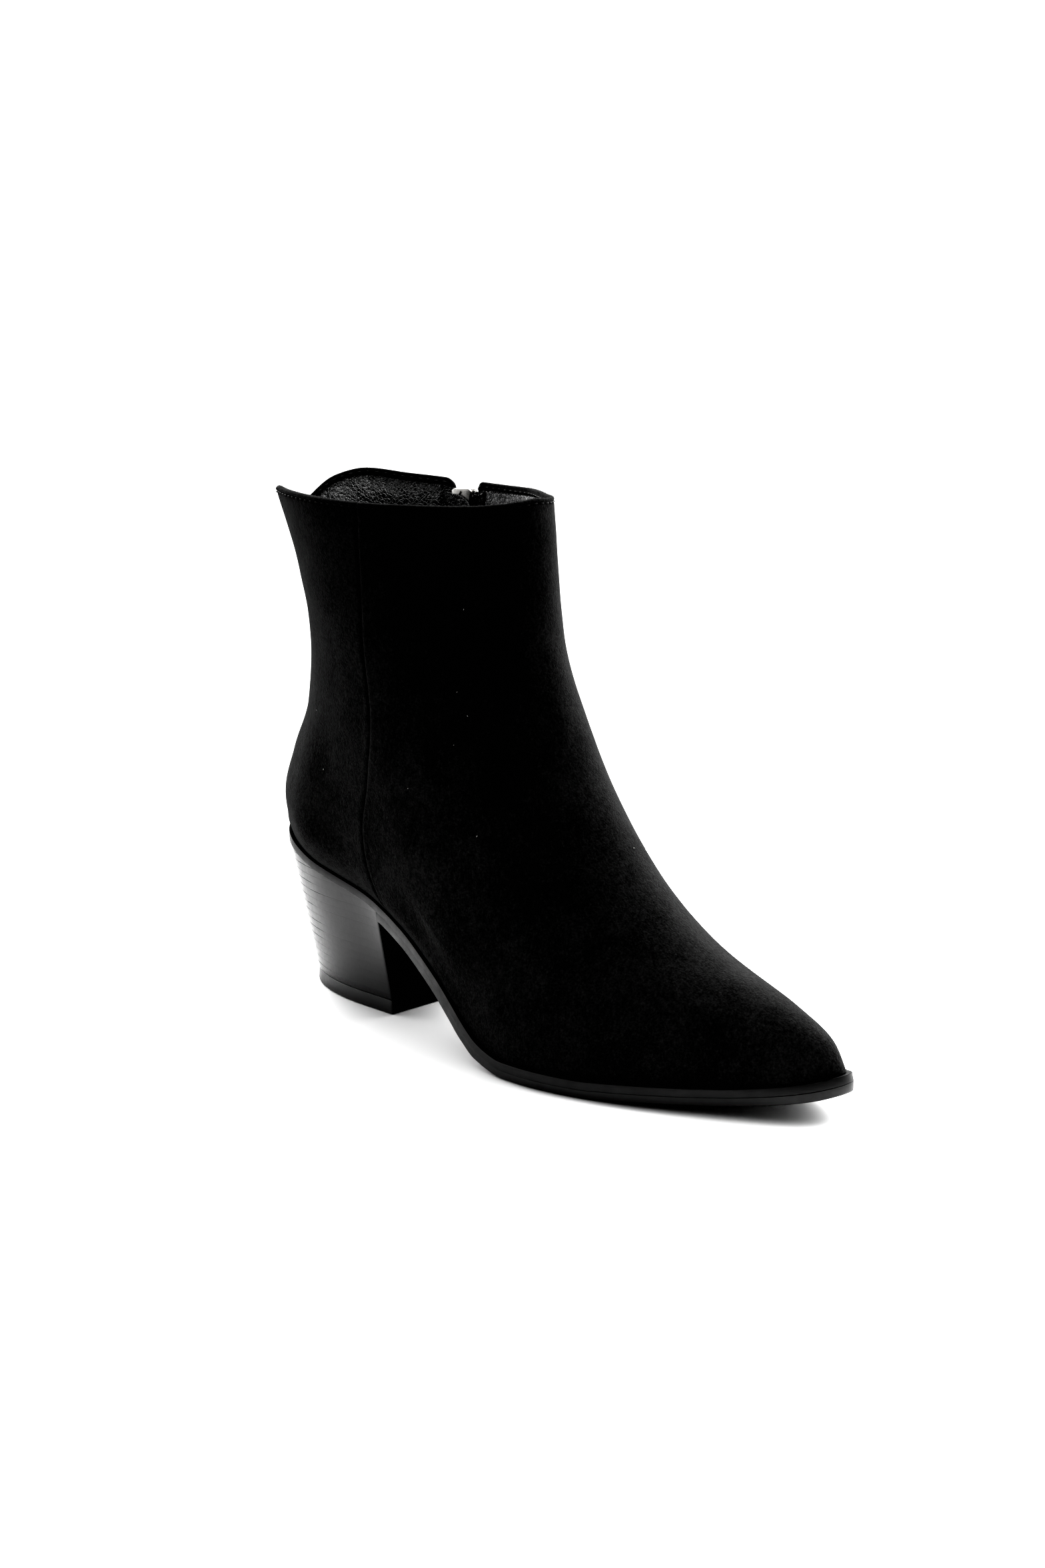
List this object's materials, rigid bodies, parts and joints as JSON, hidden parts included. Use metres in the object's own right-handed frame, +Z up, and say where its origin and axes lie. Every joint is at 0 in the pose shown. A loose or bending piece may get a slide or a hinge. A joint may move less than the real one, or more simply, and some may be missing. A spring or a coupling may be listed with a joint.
{
  "type": "pointed toe boot",
  "caption": "Right-foot ankle boot with a pointed toe, stacked block heel, scooped collar back and an inside zip with a hinged pull tab.",
  "frame": {"origin": "middle of the boot's box, on the floor", "axes": "+X from heel to toe, +Y towards the inner side of the right foot, +Z up"},
  "size_m": [0.2458, 0.0828, 0.1822],
  "materials": {
    "upper": "black faux suede with a short nap",
    "insole": "black smooth lining",
    "welt": "satin black edge",
    "outsole": "satin black edge, matt tread",
    "heel_block": "satin black with fine stacked lines",
    "heel_lift": "matt black",
    "zip_tape": "black woven tape",
    "zip_teeth": "black",
    "zip_slider": "bright nickel",
    "zip_pull": "bright nickel",
    "zip_guard": "black smooth lining"
  },
  "bodies": {
    "boot": {"upper": "upper", "insole": "insole", "welt": "welt", "outsole": "outsole", "heel_block": "heel_block", "heel_lift": "heel_lift", "zip_tape": "zip_tape", "zip_teeth": "zip_teeth", "zip_slider": "zip_slider", "zip_guard": "zip_guard"},
    "pull": {"zip_pull": "zip_pull"}
  },
  "joints": [
    {"name": "pull_hinge", "type": "hinge", "parent": "boot", "child": "pull", "pos_m": [-0.07769, 0.03914, 0.17012], "axis": [0.9721, 0.2231, 0.0728], "range_deg": [0, 150]}
  ]
}
